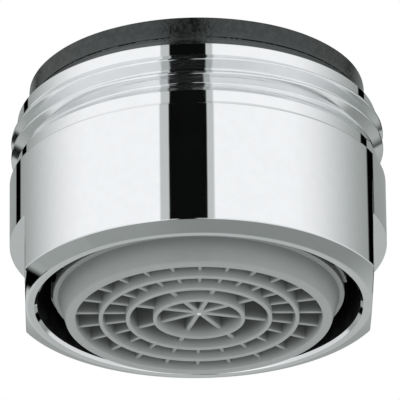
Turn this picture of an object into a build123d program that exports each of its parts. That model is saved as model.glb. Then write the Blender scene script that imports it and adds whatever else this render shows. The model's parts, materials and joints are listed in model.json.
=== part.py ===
from build123d import *
import os

# Tap aerator: chrome-plated brass housing with a male thread, a flat rubber washer and a plastic insert.
# Millimetres. +Z points up toward the tap; the origin is the centre of the outlet rim, the lowest face.

# Housing, measured outside
body_radius = 12.0
body_height = 8.5
wrench_flat_spacing = 22.0
wrench_flat_height = 4.2
base_chamfer_width = 1.1
base_chamfer_height = 0.47
thread_step = 0.1
thread_length = 2.2
thread_lead_in = 0.4
neck_depth = 0.4
neck_height = 1.05
collar_height = 0.72
top_chamfer = 0.55

# Housing, measured inside
neck_wall = 1.35
bore_edge_chamfer = 0.3
flange_seat_width = 0.35
seat_clearance = 0.1

# Washer
washer_rim_gap = 0.3
washer_width = 2.05
washer_thickness = 1.7

# Insert flange and tube
flange_thickness = 1.6
piece_clearance = 0.05
tube_wall = 1.9
air_window_count = 6
air_window_height = 1.8
air_window_width = 4.6
air_window_drop = 0.4

# Inlet strainer
strainer_flange_height = 0.8
strainer_flange_width = 0.7
strainer_height = 3.3
strainer_wall = 0.6
strainer_slot_width = 0.62
strainer_outer_slot_count = 12
strainer_inner_slot_count = 6

# Jet disperser
disperser_depth = 4.1
disperser_height = 1.2
jet_slot_width = 0.7
jet_slot_length = 1.5
jet_row_spacing = 2.3
outer_jet_count = 12
inner_jet_count = 6

# Outlet casing
outlet_protrusion = 0.95
lug_gap = 0.8
lug_rise = 0.2
lug_width = 2.68
lug_height = 1.15
lug_count = 8
lug_angle = 30.0
lip_step = 0.32
lip_height = 0.45
lip_base = 1.65
outlet_draft = 0.5
casing_neck_step = 0.2
rim_wall = 0.6

# Outlet grille
ring_wall = 0.25
ring_gap = 1.47
grille_depth = 2.0
rib_wall = 0.25
rib_setback = 0.475
outer_rib_count = 24
star_rib_count = 8
star_rib_wall = 0.33
star_angle = 15.0
hub_radius = 0.5

# Homogenising grids
grid_height = 1.0
grid_rim = 0.65
grid_bar_height = 0.6
grid_bar_wall = 0.35
grid_bar_count = 5

# Spigot that holds the grids down
spigot_length = 0.9

# Heights along the axis
housing_base = outlet_protrusion
shoulder = housing_base + body_height
neck_top = shoulder + neck_height
thread_top = neck_top + thread_length
housing_top = thread_top + thread_lead_in + collar_height + top_chamfer
flange_seat = housing_top - flange_thickness
disperser_seat = housing_top - disperser_depth
strainer_seat = disperser_seat + disperser_height
lower_grid_seat = grille_depth
upper_grid_seat = lower_grid_seat + grid_height
spigot_base = upper_grid_seat + grid_height
casing_top = spigot_base + spigot_length
air_window_base = disperser_seat - air_window_drop - air_window_height

# Radii, from the outside in
thread_radius = body_radius - thread_step
neck_radius = body_radius - neck_depth
collar_radius = thread_radius - thread_lead_in
bore_radius = neck_radius - neck_wall
flange_radius = bore_radius + flange_seat_width
counterbore_radius = flange_radius + seat_clearance
washer_radius = collar_radius - top_chamfer - washer_rim_gap
lug_radius = bore_radius - lug_gap
lip_radius = lug_radius - lug_rise
outlet_top_radius = lip_radius - lip_step
rim_radius = outlet_top_radius - outlet_draft
rim_inner_radius = rim_radius - rim_wall
casing_radius = lip_radius - casing_neck_step
grid_radius = rim_inner_radius - piece_clearance
spigot_inner_radius = casing_radius - tube_wall
pocket_radius = rim_inner_radius
disperser_radius = pocket_radius - piece_clearance
strainer_radius = pocket_radius - piece_clearance

os.makedirs("parts", exist_ok=True)

# Housing: one turned profile, then two wrench flats milled at the outlet end
with BuildPart() as housing:
    with BuildSketch(Plane.XZ):
        with BuildLine():
            Polyline(
                (bore_radius, housing_base + bore_edge_chamfer),
                (bore_radius + bore_edge_chamfer, housing_base),
                (body_radius - base_chamfer_width, housing_base),
                (body_radius, housing_base + base_chamfer_height),
                (body_radius, shoulder),
                (neck_radius, shoulder),
                (neck_radius, neck_top),
                (thread_radius, neck_top),
                (thread_radius, thread_top),
                (collar_radius, thread_top + thread_lead_in),
                (collar_radius, housing_top - top_chamfer),
                (collar_radius - top_chamfer, housing_top),
                (counterbore_radius, housing_top),
                (counterbore_radius, flange_seat),
                (bore_radius, flange_seat),
                close=True,
            )
        make_face()
    revolve(axis=Axis.Z)
    with BuildSketch(Plane.XY.offset(housing_base)):
        Circle(2 * body_radius)
        Rectangle(wrench_flat_spacing, 4 * body_radius, mode=Mode.SUBTRACT)
    extrude(amount=wrench_flat_height, mode=Mode.SUBTRACT)
housing.part.label = "housing"

# Washer: flat rubber ring on the housing's top face and the insert's flange
with BuildPart() as washer:
    with BuildSketch(Plane.XY.offset(housing_top)):
        Circle(washer_radius)
        Circle(washer_radius - washer_width, mode=Mode.SUBTRACT)
    extrude(amount=washer_thickness)
washer.part.label = "sealing_washer"

# Insert body: flange that hangs on the housing's ledge, tube with air windows, and the grids' spigot
with BuildPart() as insert_body:
    with BuildSketch(Plane.XZ):
        with BuildLine():
            Polyline(
                (spigot_inner_radius, spigot_base),
                (grid_radius, spigot_base),
                (grid_radius, casing_top),
                (casing_radius, casing_top),
                (casing_radius, flange_seat),
                (flange_radius, flange_seat),
                (flange_radius, housing_top),
                (pocket_radius, housing_top),
                (pocket_radius, disperser_seat),
                (spigot_inner_radius, disperser_seat),
                close=True,
            )
        make_face()
    revolve(axis=Axis.Z)
    with BuildSketch(Plane.XY.offset(air_window_base)):
        with PolarLocations(casing_radius, air_window_count):
            Rectangle(4 * tube_wall, air_window_width)
    extrude(amount=air_window_height, mode=Mode.SUBTRACT)
insert_body.part.label = "insert_body"

# Jet disperser: plate with two rows of slots
outer_jet_circle = disperser_radius - strainer_flange_width - jet_slot_length
inner_jet_circle = outer_jet_circle - jet_row_spacing
with BuildPart() as disperser:
    with BuildSketch(Plane.XY.offset(disperser_seat)):
        Circle(disperser_radius)
        with PolarLocations(outer_jet_circle, outer_jet_count):
            Rectangle(jet_slot_length, jet_slot_width, mode=Mode.SUBTRACT)
        with PolarLocations(inner_jet_circle, inner_jet_count):
            Rectangle(jet_slot_length, jet_slot_width, mode=Mode.SUBTRACT)
    extrude(amount=disperser_height)
disperser.part.label = "jet_disperser"

# Inlet strainer: flanged cap with a slotted top, standing on the disperser
strainer_cap_radius = strainer_radius - strainer_flange_width
strainer_top = strainer_seat + strainer_height
strainer_slot_length = strainer_cap_radius / 2 - 2.5 * strainer_wall
outer_slot_middle = strainer_cap_radius - 2 * strainer_wall - strainer_slot_length / 2
inner_slot_middle = outer_slot_middle - strainer_wall - strainer_slot_length
with BuildPart() as strainer:
    with BuildSketch(Plane.XZ):
        with BuildLine():
            Polyline(
                (strainer_cap_radius - strainer_wall, strainer_seat),
                (strainer_radius, strainer_seat),
                (strainer_radius, strainer_seat + strainer_flange_height),
                (strainer_cap_radius, strainer_seat + strainer_flange_height),
                (strainer_cap_radius, strainer_top),
                (0, strainer_top),
                (0, strainer_top - strainer_wall),
                (strainer_cap_radius - strainer_wall, strainer_top - strainer_wall),
                close=True,
            )
        make_face()
    revolve(axis=Axis.Z)
    with BuildSketch(Plane.XY.offset(strainer_top)):
        with PolarLocations(outer_slot_middle, strainer_outer_slot_count):
            Rectangle(strainer_slot_length, strainer_slot_width)
        with PolarLocations(inner_slot_middle, strainer_inner_slot_count):
            Rectangle(strainer_slot_length, strainer_slot_width)
    extrude(amount=-strainer_wall, mode=Mode.SUBTRACT)
strainer.part.label = "inlet_strainer"

# Outlet casing: drafted cup with a lip, guide lugs and the outlet grille moulded in
ring_pitch = ring_gap + ring_wall
ring_count = int((rim_inner_radius - hub_radius) // ring_pitch) - 1
star_radius = rim_inner_radius - 2 * ring_pitch + ring_wall / 2
outer_rib_end = rim_inner_radius + rim_wall / 2
outer_rib_length = outer_rib_end - star_radius
with BuildPart() as outlet_casing:
    with BuildSketch(Plane.XZ):
        with BuildLine():
            Polyline(
                (rim_inner_radius, 0),
                (rim_radius, 0),
                (outlet_top_radius, lip_base),
                (lip_radius, lip_base),
                (lip_radius, lip_base + lip_height),
                (casing_radius, lip_base + lip_height),
                (casing_radius, casing_top),
                (rim_inner_radius, casing_top),
                close=True,
            )
        make_face()
    revolve(axis=Axis.Z)
    with BuildSketch(Plane.XY.offset(lip_base + lip_height)):
        with PolarLocations(lip_radius, lug_count, start_angle=lug_angle):
            Rectangle(4 * lug_rise + 2 * lip_step, lug_width)
        Circle(lug_radius, mode=Mode.INTERSECT)
        Circle((outlet_top_radius + casing_radius) / 2, mode=Mode.SUBTRACT)
    extrude(amount=lug_height)
    with BuildSketch():
        for ring in range(1, ring_count + 1):
            ring_inner_radius = rim_inner_radius - ring * ring_pitch
            Circle(ring_inner_radius + ring_wall)
            Circle(ring_inner_radius, mode=Mode.SUBTRACT)
    extrude(amount=grille_depth)
    with BuildSketch(Plane.XY.offset(rib_setback)):
        with PolarLocations(star_radius + outer_rib_length / 2, outer_rib_count):
            Rectangle(outer_rib_length, rib_wall)
        with PolarLocations(star_radius / 2, star_rib_count, start_angle=star_angle):
            Rectangle(star_radius, star_rib_wall)
        Circle(hub_radius)
    extrude(amount=grille_depth - rib_setback)
outlet_casing.part.label = "outlet_casing"


# Homogenising grid: a rim with parallel bars at its foot, turned so that the bars of two grids cross
def make_grid(seat, turn):
    rim_inside = grid_radius - grid_rim
    bar_pitch = 2 * rim_inside / (grid_bar_count + 1)
    with BuildPart() as grid:
        with BuildSketch(Plane.XY.offset(seat)):
            Circle(grid_radius)
            Circle(rim_inside, mode=Mode.SUBTRACT)
        extrude(amount=grid_height)
        with BuildSketch(Plane.XY.offset(seat).rotated((0, 0, turn))):
            with GridLocations(0, bar_pitch, 1, grid_bar_count):
                Rectangle(2 * grid_radius, grid_bar_wall)
            Circle(rim_inside + grid_rim / 2, mode=Mode.INTERSECT)
        extrude(amount=grid_bar_height)
    return grid


upper_grid = make_grid(upper_grid_seat, 0)
upper_grid.part.label = "upper_grid"
lower_grid = make_grid(lower_grid_seat, 90)
lower_grid.part.label = "lower_grid"

export_step(housing.part, "parts/housing.step")
export_step(washer.part, "parts/sealing_washer.step")
export_step(insert_body.part, "parts/insert_body.step")
export_step(disperser.part, "parts/jet_disperser.step")
export_step(strainer.part, "parts/inlet_strainer.step")
export_step(outlet_casing.part, "parts/outlet_casing.step")
export_step(upper_grid.part, "parts/upper_grid.step")
export_step(lower_grid.part, "parts/lower_grid.step")
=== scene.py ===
import bmesh
import bpy
import json
import math
from mathutils import Matrix, Vector


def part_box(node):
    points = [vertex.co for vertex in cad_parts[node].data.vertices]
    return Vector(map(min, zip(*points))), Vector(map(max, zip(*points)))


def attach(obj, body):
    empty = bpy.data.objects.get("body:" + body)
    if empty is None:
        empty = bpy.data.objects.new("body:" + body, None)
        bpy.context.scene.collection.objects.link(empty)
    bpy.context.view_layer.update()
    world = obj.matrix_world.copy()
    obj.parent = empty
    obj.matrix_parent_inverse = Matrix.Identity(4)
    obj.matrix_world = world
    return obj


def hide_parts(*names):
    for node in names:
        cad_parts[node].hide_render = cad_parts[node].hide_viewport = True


# Tap aerator, dressed over its CAD frame. Lengths are in millimetres and angles in degrees.
# An angle round the axis starts at the camera's side, -Y, and grows toward +X.

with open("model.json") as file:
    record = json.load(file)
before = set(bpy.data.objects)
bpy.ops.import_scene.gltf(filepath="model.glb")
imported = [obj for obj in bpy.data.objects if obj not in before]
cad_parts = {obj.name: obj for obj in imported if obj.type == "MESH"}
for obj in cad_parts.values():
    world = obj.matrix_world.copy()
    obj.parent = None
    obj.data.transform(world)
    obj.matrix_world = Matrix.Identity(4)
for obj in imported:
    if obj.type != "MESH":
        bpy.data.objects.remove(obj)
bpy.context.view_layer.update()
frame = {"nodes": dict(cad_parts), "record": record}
mm = 0.001
right_side = 90.0
left_side = 270.0

# Sizes read from the frame
mounts = {mount["name"]: mount for mount in frame["record"]["mounts"]}
housing_low, housing_high = [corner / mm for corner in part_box("housing")]
washer_low, washer_high = [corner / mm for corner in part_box("sealing_washer")]
casing_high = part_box("outlet_casing")[1] / mm
flange_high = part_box("insert_body")[1] / mm
body_radius = housing_high.y
housing_base = housing_low.z
housing_top = housing_high.z
flat_distance = mounts["wrench_flat_right"]["pos_m"][0] / mm
thread_radius = mounts["spout_thread"]["dims"]["r_mm"]
flange_radius = flange_high.x
casing_top = casing_high.z

# Housing
body_height = 8.5
flat_height = 4.2
base_chamfer_width = 1.1
base_chamfer_height = 0.47
neck_radius = 11.6
neck_height = 1.06
neck_slope_angle = 36.5
neck_slope_rounding = 0.3
collar_radius = 11.5
collar_height = 0.77
top_chamfer = 0.55
bore_edge_chamfer = 0.2
flange_seat_width = 0.35
seat_clearance = 0.1
flange_thickness = 1.6
edge_rounding = 0.1
ring_edge_rounding = 0.5
neck_foot_rounding = 0.3
fine_rounding = 0.06
flat_edge_rounding = 0.06
flat_ledge_rise = 0.01

# Thread
thread_pitch = 1.0
thread_root_radius = 11.25
thread_root_rounding = 0.11
thread_crest_width = 0.1
thread_crest_rounding = 0.08
thread_flank_angle = 30.0
thread_sink = 0.05
thread_seam = 0.002
middle_crest_rise = 2.15
thread_start_angle = -270.0
thread_end_angle = 510.0
thread_run_in = 60.0

# Washer, with the number of waves in its edge and in its groove's depth
washer_width = 2.05
washer_bulge = 0.1
washer_rounding = 0.1
washer_wave = 0.012
washer_wave_counts = (3, 7)
washer_wave_shift = 1.0
washer_groove_height = 0.3
washer_groove_width = 0.1
washer_groove_depth = 0.16
groove_wave_counts = (83, 29)
groove_wave_swing = 4.0
groove_wave_share = 0.4
groove_front_share = 0.15
groove_side_growth = 2.5

# Outlet casing
rim_radius = 8.43
rim_wall = 0.6
outlet_top_radius = 8.93
lip_radius = 9.25
lip_base = 1.65
lip_height = 0.45
casing_neck_radius = 9.05
lug_radius = 9.45
lug_width = 2.68
lug_height = 1.15
lug_sink = 0.02
lug_count = 8
lug_angle = 30.0
ring_count = 3
ring_wall = 0.25
ring_gap = 1.47
grille_depth = 2.0
rib_wall = 0.25
rib_setback = 0.475
outer_rib_count = 24
star_ring = 2
star_rib_count = 8
star_rib_wall = 0.33
star_angle = 15.0
hub_radius = 0.5
hub_drop = 0.015
gate_mark_radius = 0.13
gate_mark_tip_share = 0.7
gate_mark_height = 0.06
rim_rounding = 0.25
plastic_rounding = 0.11
fine_plastic_rounding = 0.05

# Meshes: how fine they are, how they are joined and shaded, and how far a zone reaches past its edge
rounding_steps = 4
fine_rounding_steps = 5
guard_reach = 1.08
chamfer_row_spacing = 0.06
housing_columns = 360
flat_facing_limit = 0.5
flat_edge_columns = 4
flat_edge_spacing = 0.15
thread_step = 1.5
washer_columns = 720
casing_columns = 240
lug_columns = 12
ring_columns = 180
hub_columns = 32
floor_columns = 64
merge_distance = 0.0005
sharp_edge_angle = 38.0
bore_zone_margin = 0.01
grille_zone_margin = 0.02

# Finishes: a shade is a factor on the record's colour, and a pair runs from one end to the other
rising = (0.0, 1.0)
falling = (1.0, 0.0)
noise_span = (0.3, 0.7)
chrome_stain_span = (0.35, 0.65)
chrome_stain_shades = (0.99, 1.01)
chrome_haze_span = (0.35, 0.75)
chrome_roughness = (0.012, 0.045)
thread_haze = 0.055
quarter_turn = 0.25
# Painted shade inside the bore
bore_painted_shades = (0.03, 0.07)
bore_roughness = (0.4, 0.6)
plastic_shades = (0.93, 1.07)
grey_plastic_roughness = (0.36, 0.5)
white_plastic_roughness = (0.34, 0.48)
# Painted shade: how far and how much the plastics' colour darkens in recesses; painted light: how
# much paler the grille walls get toward their lower edge
painted_shade_reach = 2.6
painted_recess_shade = 0.58
recess_openness = (0.05, 0.95)
grille_openness = (0.6, 0.95)
painted_wall_light = 1.8
painted_wall_light_height = (-0.25, 1.05)
rubber_dust_span = (0.4, 0.65)
rubber_shades = (0.45, 1.6)
rubber_roughness = (0.12, 0.22)
rubber_gloss = 0.6
rubber_gloss_tint = (0.91, 1.0, 0.98)
# Painted light on the washer's lower edge
washer_painted_light_height = 0.8
washer_painted_light_level = 2.6
# Painted highlight on the gate mark
gate_highlight_shades = (0.9, 1.2)
gate_mark_roughness = (0.25, 0.45)

# Camera, fitted to the photograph: the housing's base centre is the fixed point
image_size = 400
sensor_width = 36.0
camera_distance = 500.0
camera_elevation = -24.94
camera_azimuth = -0.8
camera_roll = 0.615
camera_near = 10.0
camera_far = 5000.0
pixels_per_mm = 15.778
base_pixel_right = -1.083
base_pixel_up = -106.54

# Studio: the plain light on every surface, and the floor
plain_light = 1.0
white = (1.0, 1.0, 1.0)
floor_radius = 1400.0
floor_gap = 0.02
floor_colour = (0.9, 0.9, 0.9)
floor_roughness = 0.9

# Room that the polished metal mirrors. A span or height is where it changes, as a part of a unit
# direction to the right, away from the camera or up. Level 1 is white, and shade 1 is black.
upper_room_slant = 0.13
upper_room_span = (-0.45, 0.75)
upper_room_levels = (1.13, 0.37)
ceiling_height = (0.45, 0.6)
ceiling_span = (-0.3, 0.5)
ceiling_shades = (0.1, 0.26)
wedge_slope = 0.65
wedge_span = (0.1, 0.21)
wedge_levels = (0.85, 0.3)
far_sweep_span = (0.6, 0.9)
far_sweep_levels = (0.0, 0.245)
near_sweep_span = (-0.35, -0.1)
near_sweep_levels = (0.2, 0.0)
left_sweep_span = (-0.2, 0.0)
left_sweep_factors = (1.2, 1.0)
far_left_span = (-0.9, -0.4)
far_left_factors = (0.75, 1.0)
table_edge_height = (-0.72, -0.35)
table_edge_softness = 0.06
table_edge_span = (-0.45, -0.25)
table_edge_shades = (0.22, 0.0)
left_panel_span = (-0.33, -0.29)
left_panel_levels = (0.4, 0.0)
horizon_height = (-0.35, 0.05)
room_tint_levels = (0.2, 1.0)
dim_room_tint = (0.93, 1.0, 0.965)
bright_room_tint = (0.985, 0.992, 1.0)

# The dark gap in that room: its border, core and slot are parts of its width
gap_width_overhead = 0.5
gap_narrowing = 0.55
gap_end_span = (0.24, 0.31)
gap_border_span = (-0.376, 0.148)
gap_border_shade = 0.42
gap_core_span = (-0.289, 0.0853)
gap_core_shade = 0.9965
gap_softness = 0.012
gap_slot_span = (-0.2, -0.02)
gap_bar_height = (-0.97, -0.7)
gap_bar_softness = 0.03

# The dark stands in that room: angles at one height, and how far they lean per unit of rise
stand_lean_height = 0.42
left_stand_start = (-150.0, -148.0)
left_stand_start_lean = -7.7
left_stand_end = (-141.0, -139.0)
left_stand_end_lean = -11.6
left_stand_foot = (-0.62, -0.6)
right_stand_span = (127.0, 137.0)
right_stand_lean = 24.0
right_stand_softness = 1.146
right_stand_foot = (-0.35, -0.25)


# A point on a circle round the axis
def on_circle(radius, angle, height):
    turn = math.radians(angle)
    return Vector((radius * math.sin(turn), -radius * math.cos(turn), height))


# Evenly spaced angles for a full turn
def full_turn(columns):
    return [360 * column / columns for column in range(columns)]


# The angles of a span in radians
def in_radians(span):
    return [math.radians(angle) for angle in span]


# A closed outline from corners of (across, height, rounding). A narrow strip beside each rounding
# keeps the flat next to it flat in its shading.
def rounded(corners, steps=rounding_steps):
    points = []
    for index, (across, height, rounding) in enumerate(corners):
        corner = Vector((across, height))
        if rounding == 0:
            points.append(corner)
            continue
        to_last = (Vector(corners[index - 1][:2]) - corner).normalized()
        to_next = (Vector(corners[(index + 1) % len(corners)][:2]) - corner).normalized()
        reach = rounding / math.tan(to_last.angle(to_next) / 2)
        points.append(corner + guard_reach * reach * to_last)
        for step in range(steps + 1):
            share = step / steps
            from_last = (1 - share) ** 2 * reach * to_last
            from_next = share**2 * reach * to_next
            points.append(corner + from_last + from_next)
        points.append(corner + guard_reach * reach * to_next)
    return points


# The same outline with points no further apart than the spacing that a rule allows
def refined(points, spacing_at):
    finer = []
    for index, point in enumerate(points):
        following = points[(index + 1) % len(points)]
        step = following - point
        parts = max(math.ceil(step.length / spacing_at(point + step / 2)), 1)
        for part in range(parts):
            finer.append(point + step * part / parts)
    return finer


# Skin over rows of points, each row a closed cross-section. The last row joins the first, or else
# both ends are closed.
def skin(rows, joined):
    across = len(rows[0])
    vertices = [point for row in rows for point in row]
    faces = []
    for row in range(len(rows) if joined else len(rows) - 1):
        this_row = row * across
        next_row = (row + 1) % len(rows) * across
        for place in range(across):
            next_place = (place + 1) % across
            near_edge = (this_row + place, next_row + place)
            far_edge = (next_row + next_place, this_row + next_place)
            faces.append(near_edge + far_edge)
    if not joined:
        last_row = (len(rows) - 1) * across
        faces.append(tuple(range(across)))
        faces.append(tuple(range(last_row, last_row + across)))
    return vertices, faces


# An outline turned all the way round the axis; bend may move each point's radius
def turned(outline, angles, bend=None):
    rows = []
    for angle in angles:
        row = []
        for radius, height in outline:
            place = bend(radius, height, angle) if bend else radius
            row.append(on_circle(place, angle, height))
        rows.append(row)
    return skin(rows, joined=True)


# An outline turned through part of a circle, closed at both ends
def sector(outline, middle_angle, width_angle, columns):
    rows = []
    for column in range(columns + 1):
        angle = middle_angle + width_angle * (column / columns - 0.5)
        rows.append([on_circle(radius, angle, height) for radius, height in outline])
    return skin(rows, joined=False)


# A straight bar that runs outward from one radius to another
def bar(outline, start_radius, end_radius, angle):
    along = on_circle(1, angle, 0)
    aside = on_circle(1, angle + 90, 0)
    rows = []
    for radius in (start_radius, end_radius):
        end = along * radius
        rows.append([end + aside * across + Vector((0, 0, height)) for across, height in outline])
    return skin(rows, joined=False)


# A round post with closed ends, from (radius, height) pairs
def post(outline, columns):
    rows = []
    for radius, height in outline:
        rows.append([on_circle(radius, angle, height) for angle in full_turn(columns)])
    return skin(rows, joined=False)


# One object from several skins, riding on the body and standing for a CAD node.
# Faces that lie within a zone's radius get its material; a later zone lies within an earlier one.
def make_piece(name, skins, node, material, zones=()):
    vertices = []
    faces = []
    for skin_vertices, skin_faces in skins:
        start = len(vertices)
        vertices += [point * mm for point in skin_vertices]
        faces += [[start + index for index in face] for face in skin_faces]
    mesh = bpy.data.meshes.new(name)
    mesh.from_pydata(vertices, [], faces)
    surface = bmesh.new()
    surface.from_mesh(mesh)
    bmesh.ops.remove_doubles(surface, verts=surface.verts, dist=merge_distance * mm)
    bmesh.ops.recalc_face_normals(surface, faces=surface.faces)
    surface.to_mesh(mesh)
    surface.free()
    mesh.shade_smooth()
    mesh.set_sharp_from_angle(angle=math.radians(sharp_edge_angle))
    mesh.materials.append(material)
    for zone, (zone_radius, zone_material) in enumerate(zones, 1):
        mesh.materials.append(zone_material)
        for face in mesh.polygons:
            if face.center.xy.length < zone_radius * mm:
                face.material_index = zone
    piece = bpy.data.objects.new(name, mesh)
    bpy.context.scene.collection.objects.link(piece)
    weighting = piece.modifiers.new("weighted_normals", "WEIGHTED_NORMAL")
    weighting.keep_sharp = True
    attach(piece, "root")
    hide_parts(node)


# A node tree, emptied but for its output
class Tree:
    def __init__(self, tree, output_kind):
        self.tree = tree
        tree.nodes.clear()
        self.output = self.add(output_kind)

    def add(self, kind, **settings):
        node = self.tree.nodes.new(kind)
        for setting, value in settings.items():
            setattr(node, setting, value)
        return node

    def link(self, source, target):
        self.tree.links.new(source, target)

    # Sets an input to a constant, or links it to an output
    def feed(self, socket, value):
        if isinstance(value, bpy.types.NodeSocket):
            self.link(value, socket)
        else:
            socket.default_value = value

    def math(self, operation, first, second=0.0):
        node = self.add("ShaderNodeMath", operation=operation)
        self.feed(node.inputs[0], first)
        self.feed(node.inputs[1], second)
        return node.outputs[0]

    def plus(self, first, second):
        return self.math("ADD", first, second)

    def minus(self, first, second):
        return self.math("SUBTRACT", first, second)

    def times(self, first, second):
        return self.math("MULTIPLY", first, second)

    def larger(self, first, second):
        return self.math("MAXIMUM", first, second)

    # A level with a share of it taken away
    def without(self, level, share):
        return self.times(level, self.minus(1.0, share))

    # Runs smoothly from one level to another while the input runs through the span
    def ramp(self, source, span, levels):
        node = self.add("ShaderNodeMapRange", interpolation_type="SMOOTHSTEP")
        self.link(source, node.inputs["Value"])
        settings = zip(("From Min", "From Max", "To Min", "To Max"), (*span, *levels))
        for setting, value in settings:
            node.inputs[setting].default_value = value
        return node.outputs["Result"]

    # One within the span and nought outside it, with soft sides
    def strip(self, source, span, softness):
        start, end = span
        rise = self.ramp(source, (start - softness, start + softness), rising)
        fall = self.ramp(source, (end - softness, end + softness), falling)
        return self.times(rise, fall)

    # Height of the shaded point in the piece's own frame, in metres
    def height(self):
        place = self.add("ShaderNodeSeparateXYZ")
        self.link(self.add("ShaderNodeTexCoord").outputs["Object"], place.inputs[0])
        return place.outputs["Z"]

    def noise(self, grain, detail):
        place = self.add("ShaderNodeTexCoord")
        node = self.add("ShaderNodeTexNoise")
        node.inputs["Scale"].default_value = 1 / (grain * mm)
        node.inputs["Detail"].default_value = detail
        self.link(place.outputs["Object"], node.inputs["Vector"])
        return node.outputs["Fac"]

    # Blends two colours, each a constant or an output
    def mix_colours(self, share, first, second):
        node = self.add("ShaderNodeMix", data_type="RGBA")
        self.link(share, node.inputs["Factor"])
        for name, colour in (("A", first), ("B", second)):
            linked = isinstance(colour, bpy.types.NodeSocket)
            self.feed(node.inputs[name], colour if linked else (*colour, 1))
        return node.outputs["Result"]

    # A bumpy normal, on top of another one where there is one
    def bump(self, height, depth, strength, under=None):
        node = self.add("ShaderNodeBump")
        node.inputs["Distance"].default_value = depth * mm
        node.inputs["Strength"].default_value = strength
        self.link(height, node.inputs["Height"])
        if under:
            self.link(under, node.inputs["Normal"])
        return node.outputs["Normal"]


# Start of a material: its tree and its shader
def new_material(name):
    material = bpy.data.materials.new(name)
    material.use_nodes = True
    tree = Tree(material.node_tree, "ShaderNodeOutputMaterial")
    shader = tree.add("ShaderNodeBsdfPrincipled")
    tree.link(shader.outputs["BSDF"], tree.output.inputs["Surface"])
    return material, tree, shader


# The record's colour for a slot, made lighter or darker
def slot_colour(slot, shade):
    entry = next(entry for entry in frame["record"]["materials"] if entry["slot"] == slot)
    return [shade * channel for channel in entry["base_color"]]


# A blend of two shades of the record's colour for a slot
def slot_blend(tree, share, slot, shades):
    first, second = [slot_colour(slot, shade) for shade in shades]
    return tree.mix_colours(share, first, second)


# Polished chrome with faint stains, a haze that comes and goes and a slight wave from the polishing.
# Between the neck and the collar, a turned grain blurs what the thread mirrors along the axis.
def make_chrome():
    material, tree, shader = new_material("polished_chrome")
    stains = tree.ramp(tree.noise(grain=0.7, detail=6), chrome_stain_span, rising)
    tint = slot_blend(tree, stains, "chrome_plate", chrome_stain_shades)
    tree.link(tint, shader.inputs["Base Color"])
    shader.inputs["Metallic"].default_value = 1.0
    threaded = tree.strip(tree.height(), (neck_top * mm, collar_base * mm), fine_rounding * mm)
    polish = tree.ramp(tree.noise(grain=3.0, detail=4), chrome_haze_span, chrome_roughness)
    roughness = tree.plus(polish, tree.times(threaded, thread_haze))
    tree.link(roughness, shader.inputs["Roughness"])
    round_axis = tree.add("ShaderNodeTangent", direction_type="RADIAL", axis="Z")
    tree.link(round_axis.outputs["Tangent"], shader.inputs["Tangent"])
    tree.link(threaded, shader.inputs["Anisotropic"])
    shader.inputs["Anisotropic Rotation"].default_value = quarter_turn
    wave = tree.bump(tree.noise(grain=2.5, detail=1), depth=0.002, strength=0.6)
    grain = tree.bump(tree.noise(grain=0.5, detail=3), depth=0.002, strength=0.05, under=wave)
    tree.link(grain, shader.inputs["Normal"])
    return material


# Dull inside of the bore, with painted shade: its metal colour is darkened nearly to black
def make_shaded_bore():
    material, tree, shader = new_material("dark_bore_painted_shade")
    stain = tree.noise(grain=0.8, detail=5)
    # Painted shade: a near-black metal colour stands in for the shade deep in the bore
    tree.link(slot_blend(tree, stain, "chrome_plate", bore_painted_shades), shader.inputs["Base Color"])
    shader.inputs["Metallic"].default_value = 1.0
    tree.link(tree.ramp(stain, noise_span, bore_roughness), shader.inputs["Roughness"])
    return material


# Satin moulded plastic with a fine grain. Painted shade darkens its colour in its recesses, and on
# thin walls painted light can make the colour paler toward their lower edge.
def make_plastic(name, slot, roughness, open_span=recess_openness, lower_painted_level=painted_recess_shade):
    material, tree, shader = new_material(name)
    clouds = tree.noise(grain=1.2, detail=5)
    clean = slot_blend(tree, clouds, slot, plastic_shades)
    # Painted shade: the colour darkens where ambient occlusion finds the surface hemmed in by nearby
    # faces
    openness = tree.add("ShaderNodeAmbientOcclusion", samples=16)
    openness.inputs["Distance"].default_value = painted_shade_reach * mm
    exposed = tree.ramp(openness.outputs["AO"], open_span, rising)
    # Painted light: in recesses the colour runs from the lower level at the walls' lower edge to the
    # painted shade higher up
    painted_light_span = [height * mm for height in painted_wall_light_height]
    depth = tree.ramp(tree.height(), painted_light_span, rising)
    recess = slot_blend(tree, depth, slot, (lower_painted_level, painted_recess_shade))
    tree.link(tree.mix_colours(exposed, recess, clean), shader.inputs["Base Color"])
    tree.link(tree.ramp(clouds, noise_span, roughness), shader.inputs["Roughness"])
    grain = tree.bump(tree.noise(grain=0.09, detail=3), depth=0.01, strength=0.3)
    tree.link(grain, shader.inputs["Normal"])
    return material


# Black rubber with a mottled skin and a soft shine, and painted light that makes it paler toward its
# lower edge
def make_rubber():
    material, tree, shader = new_material("black_rubber_skin")
    mottle = tree.noise(grain=0.35, detail=6)
    dust = tree.ramp(mottle, rubber_dust_span, rising)
    clean = slot_blend(tree, dust, "black_rubber", rubber_shades)
    # Painted light: the colour turns paler toward the washer's lower edge
    painted_light_top = washer_low.z + washer_painted_light_height
    lowness = tree.ramp(tree.height(), (washer_low.z * mm, painted_light_top * mm), falling)
    tint = tree.mix_colours(lowness, clean, slot_colour("black_rubber", washer_painted_light_level))
    tree.link(tint, shader.inputs["Base Color"])
    tree.link(tree.ramp(mottle, noise_span, rubber_roughness), shader.inputs["Roughness"])
    shader.inputs["Specular IOR Level"].default_value = rubber_gloss
    shader.inputs["Specular Tint"].default_value = (*rubber_gloss_tint, 1)
    grain = tree.bump(tree.noise(grain=0.15, detail=5), depth=0.03, strength=0.5)
    tree.link(grain, shader.inputs["Normal"])
    return material


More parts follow.
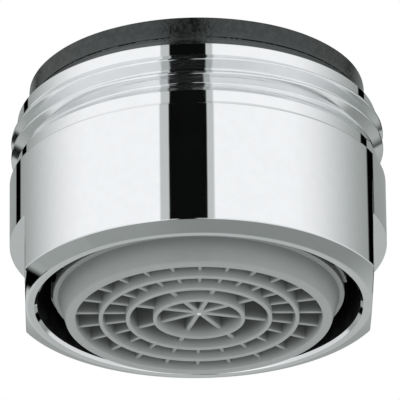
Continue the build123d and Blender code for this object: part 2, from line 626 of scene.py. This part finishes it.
# Pale plastic on the nub where the moulding gate was cut off, as a painted highlight
def make_gate_highlight():
    material, tree, shader = new_material("gate_mark_painted_highlight")
    frost = tree.noise(grain=0.05, detail=3)
    # Painted highlight: the nub takes the white plastic's colour, paler than the grey hub around it
    tree.link(slot_blend(tree, frost, "white_plastic", gate_highlight_shades), shader.inputs["Base Color"])
    tree.link(tree.ramp(frost, noise_span, gate_mark_roughness), shader.inputs["Roughness"])
    return material


# Pale floor, clear when it is seen from below
def make_floor_paint():
    material, tree, shader = new_material("pale_floor")
    shader.inputs["Base Color"].default_value = (*floor_colour, 1)
    shader.inputs["Roughness"].default_value = floor_roughness
    shader.inputs["Specular IOR Level"].default_value = 0.0
    side_seen = tree.add("ShaderNodeNewGeometry")
    clear = tree.add("ShaderNodeBsdfTransparent")
    choice = tree.add("ShaderNodeMixShader")
    tree.link(side_seen.outputs["Backfacing"], choice.inputs[0])
    tree.link(shader.outputs["BSDF"], choice.inputs[1])
    tree.link(clear.outputs["BSDF"], choice.inputs[2])
    tree.link(choice.outputs["Shader"], tree.output.inputs["Surface"])
    return material


# Heights along the housing
flat_top = housing_base + flat_height
shoulder = housing_base + body_height
neck_top = shoulder + neck_height
collar_base = housing_top - top_chamfer - collar_height

chrome = make_chrome()
dark_bore_painted_shade = make_shaded_bore()
gate_mark = make_gate_highlight()
rubber = make_rubber()
grey_plastic = make_plastic("grey_acetal", "grey_plastic", grey_plastic_roughness)
# The grille's walls get painted light toward their lower edge, and their painted shade starts later
grille_plastic = make_plastic(
    "grille_grey_acetal_painted_light", "grey_plastic", grey_plastic_roughness, grille_openness, painted_wall_light
)
white_plastic = make_plastic("white_acetal", "white_plastic", white_plastic_roughness)

# Housing outline, from the bore's lower edge outward and back down the bore
bore_radius = flange_radius - flange_seat_width
counterbore_radius = flange_radius + seat_clearance
flange_seat = housing_top - flange_thickness
thread_bed_radius = thread_root_radius - thread_sink / 2
neck_slope_height = (neck_radius - thread_bed_radius) / math.tan(math.radians(neck_slope_angle))
housing_outline = rounded(
    [
        (bore_radius, housing_base + bore_edge_chamfer, fine_rounding),
        (bore_radius + bore_edge_chamfer, housing_base, fine_rounding),
        (body_radius - base_chamfer_width, housing_base, ring_edge_rounding),
        (body_radius, housing_base + base_chamfer_height, edge_rounding),
        (body_radius, flat_top, 0),
        (body_radius, flat_top + flat_ledge_rise, 0),
        (body_radius, shoulder, fine_rounding),
        (neck_radius, shoulder, neck_foot_rounding),
        (neck_radius, neck_top, fine_rounding),
        (thread_bed_radius, neck_top + neck_slope_height, neck_slope_rounding),
        (thread_bed_radius, collar_base - (collar_radius - thread_bed_radius), fine_rounding),
        (collar_radius, collar_base, fine_rounding),
        (collar_radius, housing_top - top_chamfer, fine_rounding),
        (collar_radius - top_chamfer, housing_top, fine_rounding),
        (counterbore_radius, housing_top, fine_rounding),
        (counterbore_radius, flange_seat, 0),
        (bore_radius, flange_seat, 0),
    ],
    fine_rounding_steps,
)


# Close rows on the outlet chamfer, where the flats cut a curved edge
def housing_row_spacing(point):
    on_chamfer = point.x > bore_radius and point.y < housing_base + 2 * base_chamfer_height
    return chamfer_row_spacing if on_chamfer else body_height


# Cuts the two wrench flats into the turned body
def cut_flats(radius, height, angle):
    facing = abs(math.sin(math.radians(angle)))
    if facing < flat_facing_limit or height > flat_top + flat_ledge_rise / 2:
        return radius
    flat_radius = flat_distance / facing
    share = min(max(0.5 + (flat_radius - radius) / (2 * flat_edge_rounding), 0), 1)
    blend = flat_radius + (radius - flat_radius) * share
    return blend - flat_edge_rounding * share * (1 - share)


# Columns round the housing, closer together along the flats' edges
flat_half_angle = math.degrees(math.acos(flat_distance / body_radius))
housing_angles = full_turn(housing_columns)
for side in (right_side, left_side):
    for edge in (side - flat_half_angle, side + flat_half_angle):
        for offset in range(-flat_edge_columns, flat_edge_columns + 1):
            housing_angles.append(edge + flat_edge_spacing * offset)
housing_angles.sort()

# Thread: one ridge, just under a pitch wide, swept along the helix and fading out at both ends
thread_bottom = thread_root_radius - thread_sink
flank_run = (thread_radius - thread_root_radius) * math.tan(math.radians(thread_flank_angle))
thread_foot = thread_crest_width / 2 + flank_run
thread_half_width = thread_pitch / 2 - thread_seam
thread_section = rounded(
    [
        (-thread_half_width, thread_bottom, 0),
        (-thread_half_width, thread_root_radius, 0),
        (-thread_foot, thread_root_radius, thread_root_rounding),
        (-thread_crest_width / 2, thread_radius, thread_crest_rounding),
        (thread_crest_width / 2, thread_radius, thread_crest_rounding),
        (thread_foot, thread_root_radius, thread_root_rounding),
        (thread_half_width, thread_root_radius, 0),
        (thread_half_width, thread_bottom, 0),
    ]
)
thread_rows = []
thread_steps = round((thread_end_angle - thread_start_angle) / thread_step)
for step in range(thread_steps + 1):
    angle = thread_start_angle + step * thread_step
    to_end = min(angle - thread_start_angle, thread_end_angle - angle)
    fullness = min(to_end / thread_run_in, 1)
    crest = shoulder + middle_crest_rise + thread_pitch * angle / 360
    row = []
    for aside, radius in thread_section:
        faded_radius = thread_bottom + (radius - thread_bottom) * fullness
        row.append(on_circle(faded_radius, angle, crest + aside))
    thread_rows.append(row)

make_piece(
    "threaded_housing",
    [
        turned(refined(housing_outline, housing_row_spacing), housing_angles, cut_flats),
        skin(thread_rows, joined=False),
    ],
    "housing",
    chrome,
    [(bore_radius + bore_zone_margin, dark_bore_painted_shade)],
)

# Washer: rounded ring that bulges a little and wanders, as cut rubber does, with a ragged groove
washer_radius = washer_high.x + washer_bulge
washer_inner_radius = washer_high.x - washer_width
groove_radius = washer_radius - washer_groove_depth
groove_middle = washer_low.z + washer_groove_height
groove_base = groove_middle - washer_groove_width / 2
groove_top = groove_middle + washer_groove_width / 2
washer_outline = rounded(
    [
        (washer_inner_radius, washer_low.z, washer_rounding),
        (washer_radius, washer_low.z, washer_rounding),
        (washer_radius, groove_base, 0),
        (groove_radius, groove_base, 0),
        (groove_radius, groove_top, 0),
        (washer_radius, groove_top, 0),
        (washer_radius, washer_high.z, washer_rounding),
        (washer_inner_radius, washer_high.z, washer_rounding),
    ],
    fine_rounding_steps,
)


# The edge's wave, and the groove's depth: ragged all round, and shallow in front and behind
def wander(radius, height, angle):
    turn = math.radians(angle)
    slow, quick = [count * turn for count in washer_wave_counts]
    wave = washer_wave * (1 + math.sin(slow + washer_wave_shift) * math.sin(quick))
    if radius < washer_radius and abs(height - groove_middle) < washer_groove_width:
        fine, coarse = [count * turn for count in groove_wave_counts]
        ripple = math.sin(fine + groove_wave_swing * math.sin(coarse))
        ragged = 1 - groove_wave_share + groove_wave_share * ripple
        sideways = min(groove_front_share + groove_side_growth * abs(math.sin(turn)), 1)
        return washer_radius - washer_groove_depth * ragged * sideways - wave
    return radius - wave


make_piece(
    "rubber_washer",
    [turned(washer_outline, full_turn(washer_columns), wander)],
    "sealing_washer",
    rubber,
)

# Outlet casing: cup, lip, lugs and the grille
rim_inner_radius = rim_radius - rim_wall
rim_middle_radius = rim_inner_radius + rim_wall / 2
ring_pitch = ring_gap + ring_wall
star_radius = rim_inner_radius - star_ring * ring_pitch + ring_wall / 2
cup_outline = rounded(
    [
        (rim_inner_radius, 0, plastic_rounding),
        (rim_radius, 0, rim_rounding),
        (outlet_top_radius, lip_base, fine_plastic_rounding),
        (lip_radius, lip_base, plastic_rounding),
        (lip_radius, lip_base + lip_height, plastic_rounding),
        (casing_neck_radius, lip_base + lip_height, fine_plastic_rounding),
        (casing_neck_radius, casing_top, 0),
        (rim_inner_radius, casing_top, 0),
    ]
)
casing_skins = [turned(cup_outline, full_turn(casing_columns))]
lug_base = lip_base + lip_height - lug_sink
lug_root_radius = casing_neck_radius - rim_wall / 2
lug_outline = rounded(
    [
        (lug_root_radius, lug_base, 0),
        (lug_radius, lug_base, fine_plastic_rounding),
        (lug_radius, lug_base + lug_height, fine_plastic_rounding),
        (lug_root_radius, lug_base + lug_height, 0),
    ]
)
lug_width_angle = 2 * math.degrees(math.asin(lug_width / 2 / lug_radius))
for lug in range(lug_count):
    middle_angle = right_side + lug_angle + 360 * lug / lug_count
    casing_skins.append(sector(lug_outline, middle_angle, lug_width_angle, lug_columns))
for ring in range(1, ring_count + 1):
    ring_inner_radius = rim_inner_radius - ring * ring_pitch
    ring_outline = rounded(
        [
            (ring_inner_radius, 0, plastic_rounding),
            (ring_inner_radius + ring_wall, 0, plastic_rounding),
            (ring_inner_radius + ring_wall, grille_depth, 0),
            (ring_inner_radius, grille_depth, 0),
        ]
    )
    casing_skins.append(turned(ring_outline, full_turn(ring_columns)))


# A rib's section: rounded along its lower edge
def rib_section(wall):
    return rounded(
        [
            (-wall / 2, rib_setback, plastic_rounding),
            (wall / 2, rib_setback, plastic_rounding),
            (wall / 2, grille_depth, 0),
            (-wall / 2, grille_depth, 0),
        ]
    )


for rib in range(outer_rib_count):
    angle = right_side + 360 * rib / outer_rib_count
    casing_skins.append(bar(rib_section(rib_wall), star_radius, rim_middle_radius, angle))
for rib in range(star_rib_count):
    angle = right_side + star_angle + 360 * rib / star_rib_count
    casing_skins.append(bar(rib_section(star_rib_wall), hub_radius / 2, star_radius, angle))
hub_base = rib_setback - hub_drop
hub_outline = [
    (gate_mark_tip_share * gate_mark_radius, hub_base - gate_mark_height),
    (gate_mark_radius, hub_base - gate_mark_height / 2),
    (gate_mark_radius, hub_base),
    (hub_radius - plastic_rounding, hub_base),
    (hub_radius, hub_base + plastic_rounding),
    (hub_radius, grille_depth),
]
casing_skins.append(post(hub_outline, hub_columns))
make_piece(
    "outlet_casing_moulding",
    casing_skins,
    "outlet_casing",
    grey_plastic,
    [(rim_inner_radius + grille_zone_margin, grille_plastic), (gate_mark_radius, gate_mark)],
)

# CAD nodes that keep their mesh and get a finish
for node, material in (
    ("insert_body", grey_plastic),
    ("upper_grid", grey_plastic),
    ("lower_grid", grey_plastic),
    ("jet_disperser", white_plastic),
    ("inlet_strainer", white_plastic),
):
    frame["nodes"][node].data.materials.clear()
    frame["nodes"][node].data.materials.append(material)

# Floor: seen from above only, so that the camera below looks through it
floor_mesh = bpy.data.meshes.new("floor")
floor_points = [on_circle(floor_radius, angle, -floor_gap) * mm for angle in full_turn(floor_columns)]
floor_mesh.from_pydata(floor_points, [], [list(range(floor_columns))])
floor_mesh.materials.append(make_floor_paint())
floor = bpy.data.objects.new("floor", floor_mesh)
bpy.context.scene.collection.objects.link(floor)
floor.visible_diffuse = False
floor.visible_glossy = False
floor.visible_transmission = False
floor.visible_shadow = False

# World: white to the camera, plain light on every surface, and a softbox room in the metal's mirror
world = bpy.data.worlds.new("studio")
bpy.context.scene.world = world
world.use_nodes = True
sky = Tree(world.node_tree, "ShaderNodeOutputWorld")
direction = sky.add("ShaderNodeSeparateXYZ")
sky.link(sky.add("ShaderNodeTexCoord").outputs["Generated"], direction.inputs[0])
right = direction.outputs["X"]
away = direction.outputs["Y"]
up = direction.outputs["Z"]

# Above: softboxes in front, a greyer room behind, and a ceiling that is darker on the right
slant = sky.plus(away, sky.times(right, upper_room_slant))
upper_room = sky.ramp(slant, upper_room_span, upper_room_levels)
ceiling_shade = sky.ramp(right, ceiling_span, ceiling_shades)
ceiling = sky.times(sky.ramp(up, ceiling_height, rising), ceiling_shade)
upper_room = sky.without(upper_room, ceiling)

# Below: a sweep with a dark wedge behind, brighter near by, far away and on the left, darker at the
# far left and in a strip low in front. A pale panel on the left keeps that side from going darker.
wedge = sky.minus(away, sky.times(sky.math("ABSOLUTE", right), wedge_slope))
lower_room = sky.ramp(wedge, wedge_span, wedge_levels)
lower_room = sky.plus(lower_room, sky.ramp(away, far_sweep_span, far_sweep_levels))
lower_room = sky.plus(lower_room, sky.ramp(away, near_sweep_span, near_sweep_levels))
lower_room = sky.times(lower_room, sky.ramp(right, left_sweep_span, left_sweep_factors))
lower_room = sky.times(lower_room, sky.ramp(right, far_left_span, far_left_factors))
table_edge = sky.strip(up, table_edge_height, table_edge_softness)
table_edge = sky.times(table_edge, sky.ramp(away, table_edge_span, table_edge_shades))
lower_room = sky.without(lower_room, table_edge)
lower_room = sky.larger(lower_room, sky.ramp(right, left_panel_span, left_panel_levels))

# The two halves run into each other near the horizon
upper_share = sky.ramp(up, horizon_height, rising)
room = sky.plus(sky.without(lower_room, upper_share), sky.times(upper_room, upper_share))

# The gap between the front softboxes, which narrows overhead and underneath, with a grey border on
# each side. Low in front, two bright bars leave only a slot of it.
gap_width = sky.minus(gap_width_overhead, sky.times(away, gap_narrowing))
gap_place = sky.math("DIVIDE", right, gap_width)
gap_slot = sky.strip(gap_place, gap_slot_span, gap_bar_softness)
gap_bars = sky.without(sky.strip(up, gap_bar_height, gap_bar_softness), gap_slot)
gap_front = sky.without(sky.ramp(away, gap_end_span, falling), gap_bars)
gap_border = sky.times(sky.strip(gap_place, gap_border_span, gap_softness), gap_border_shade)
gap_core = sky.times(sky.strip(gap_place, gap_core_span, gap_softness), gap_core_shade)
room = sky.without(room, sky.times(sky.larger(gap_border, gap_core), gap_front))

# Two dark stands behind: the left one narrows toward its foot, the right one ends higher up
azimuth = sky.math("ARCTAN2", right, sky.times(away, -1.0))
rise = sky.minus(up, stand_lean_height)


# The angle round the room with a stand's lean taken out
def leaned(lean):
    return sky.plus(azimuth, sky.times(rise, math.radians(lean)))


left_stand = sky.times(
    sky.ramp(leaned(left_stand_start_lean), in_radians(left_stand_start), rising),
    sky.ramp(leaned(left_stand_end_lean), in_radians(left_stand_end), falling),
)
left_stand = sky.times(left_stand, sky.ramp(up, left_stand_foot, rising))
right_stand = sky.strip(
    leaned(right_stand_lean), in_radians(right_stand_span), math.radians(right_stand_softness)
)
right_stand = sky.times(right_stand, sky.ramp(up, right_stand_foot, rising))
room = sky.without(room, sky.larger(left_stand, right_stand))

# What each kind of ray sees
rays = sky.add("ShaderNodeLightPath")
mirrored = sky.larger(rays.outputs["Is Glossy Ray"], rays.outputs["Is Transmission Ray"])
light = sky.plus(sky.without(plain_light, mirrored), sky.times(mirrored, room))
seen = rays.outputs["Is Camera Ray"]
strength = sky.larger(sky.without(light, seen), seen)
room_tint = sky.mix_colours(sky.ramp(room, room_tint_levels, rising), dim_room_tint, bright_room_tint)
background = sky.add("ShaderNodeBackground")
sky.link(sky.mix_colours(mirrored, white, room_tint), background.inputs["Color"])
sky.link(strength, background.inputs["Strength"])
sky.link(background.outputs["Background"], sky.output.inputs["Surface"])

# Camera at the photograph's place, below the outlet
lift = math.radians(camera_elevation)
swing = math.radians(camera_azimuth)
roll = math.radians(camera_roll)
back = Vector((math.sin(swing) * math.cos(lift), -math.cos(swing) * math.cos(lift), math.sin(lift)))
level = (-back).cross(Vector((0, 0, 1))).normalized()
upright = level.cross(-back)
image_right = level * math.cos(roll) - upright * math.sin(roll)
image_up = level * math.sin(roll) + upright * math.cos(roll)
base_centre = Vector((0, 0, housing_base))
camera_place = base_centre + back * camera_distance
aim = base_centre - (image_right * base_pixel_right + image_up * base_pixel_up) / pixels_per_mm
sight = (aim - camera_place).normalized()
side = (image_right - sight * image_right.dot(sight)).normalized()
turn = Matrix((side, side.cross(sight), -sight)).transposed()
camera_data = bpy.data.cameras.new("camera")
camera_data.sensor_width = sensor_width
camera_data.lens = pixels_per_mm * camera_distance * sensor_width / image_size
camera_data.clip_start = camera_near * mm
camera_data.clip_end = camera_far * mm
camera = bpy.data.objects.new("camera", camera_data)
camera.matrix_world = Matrix.Translation(camera_place * mm) @ turn.to_4x4()
bpy.context.scene.collection.objects.link(camera)
bpy.context.scene.camera = camera
bpy.context.scene.view_settings.view_transform = "Standard"
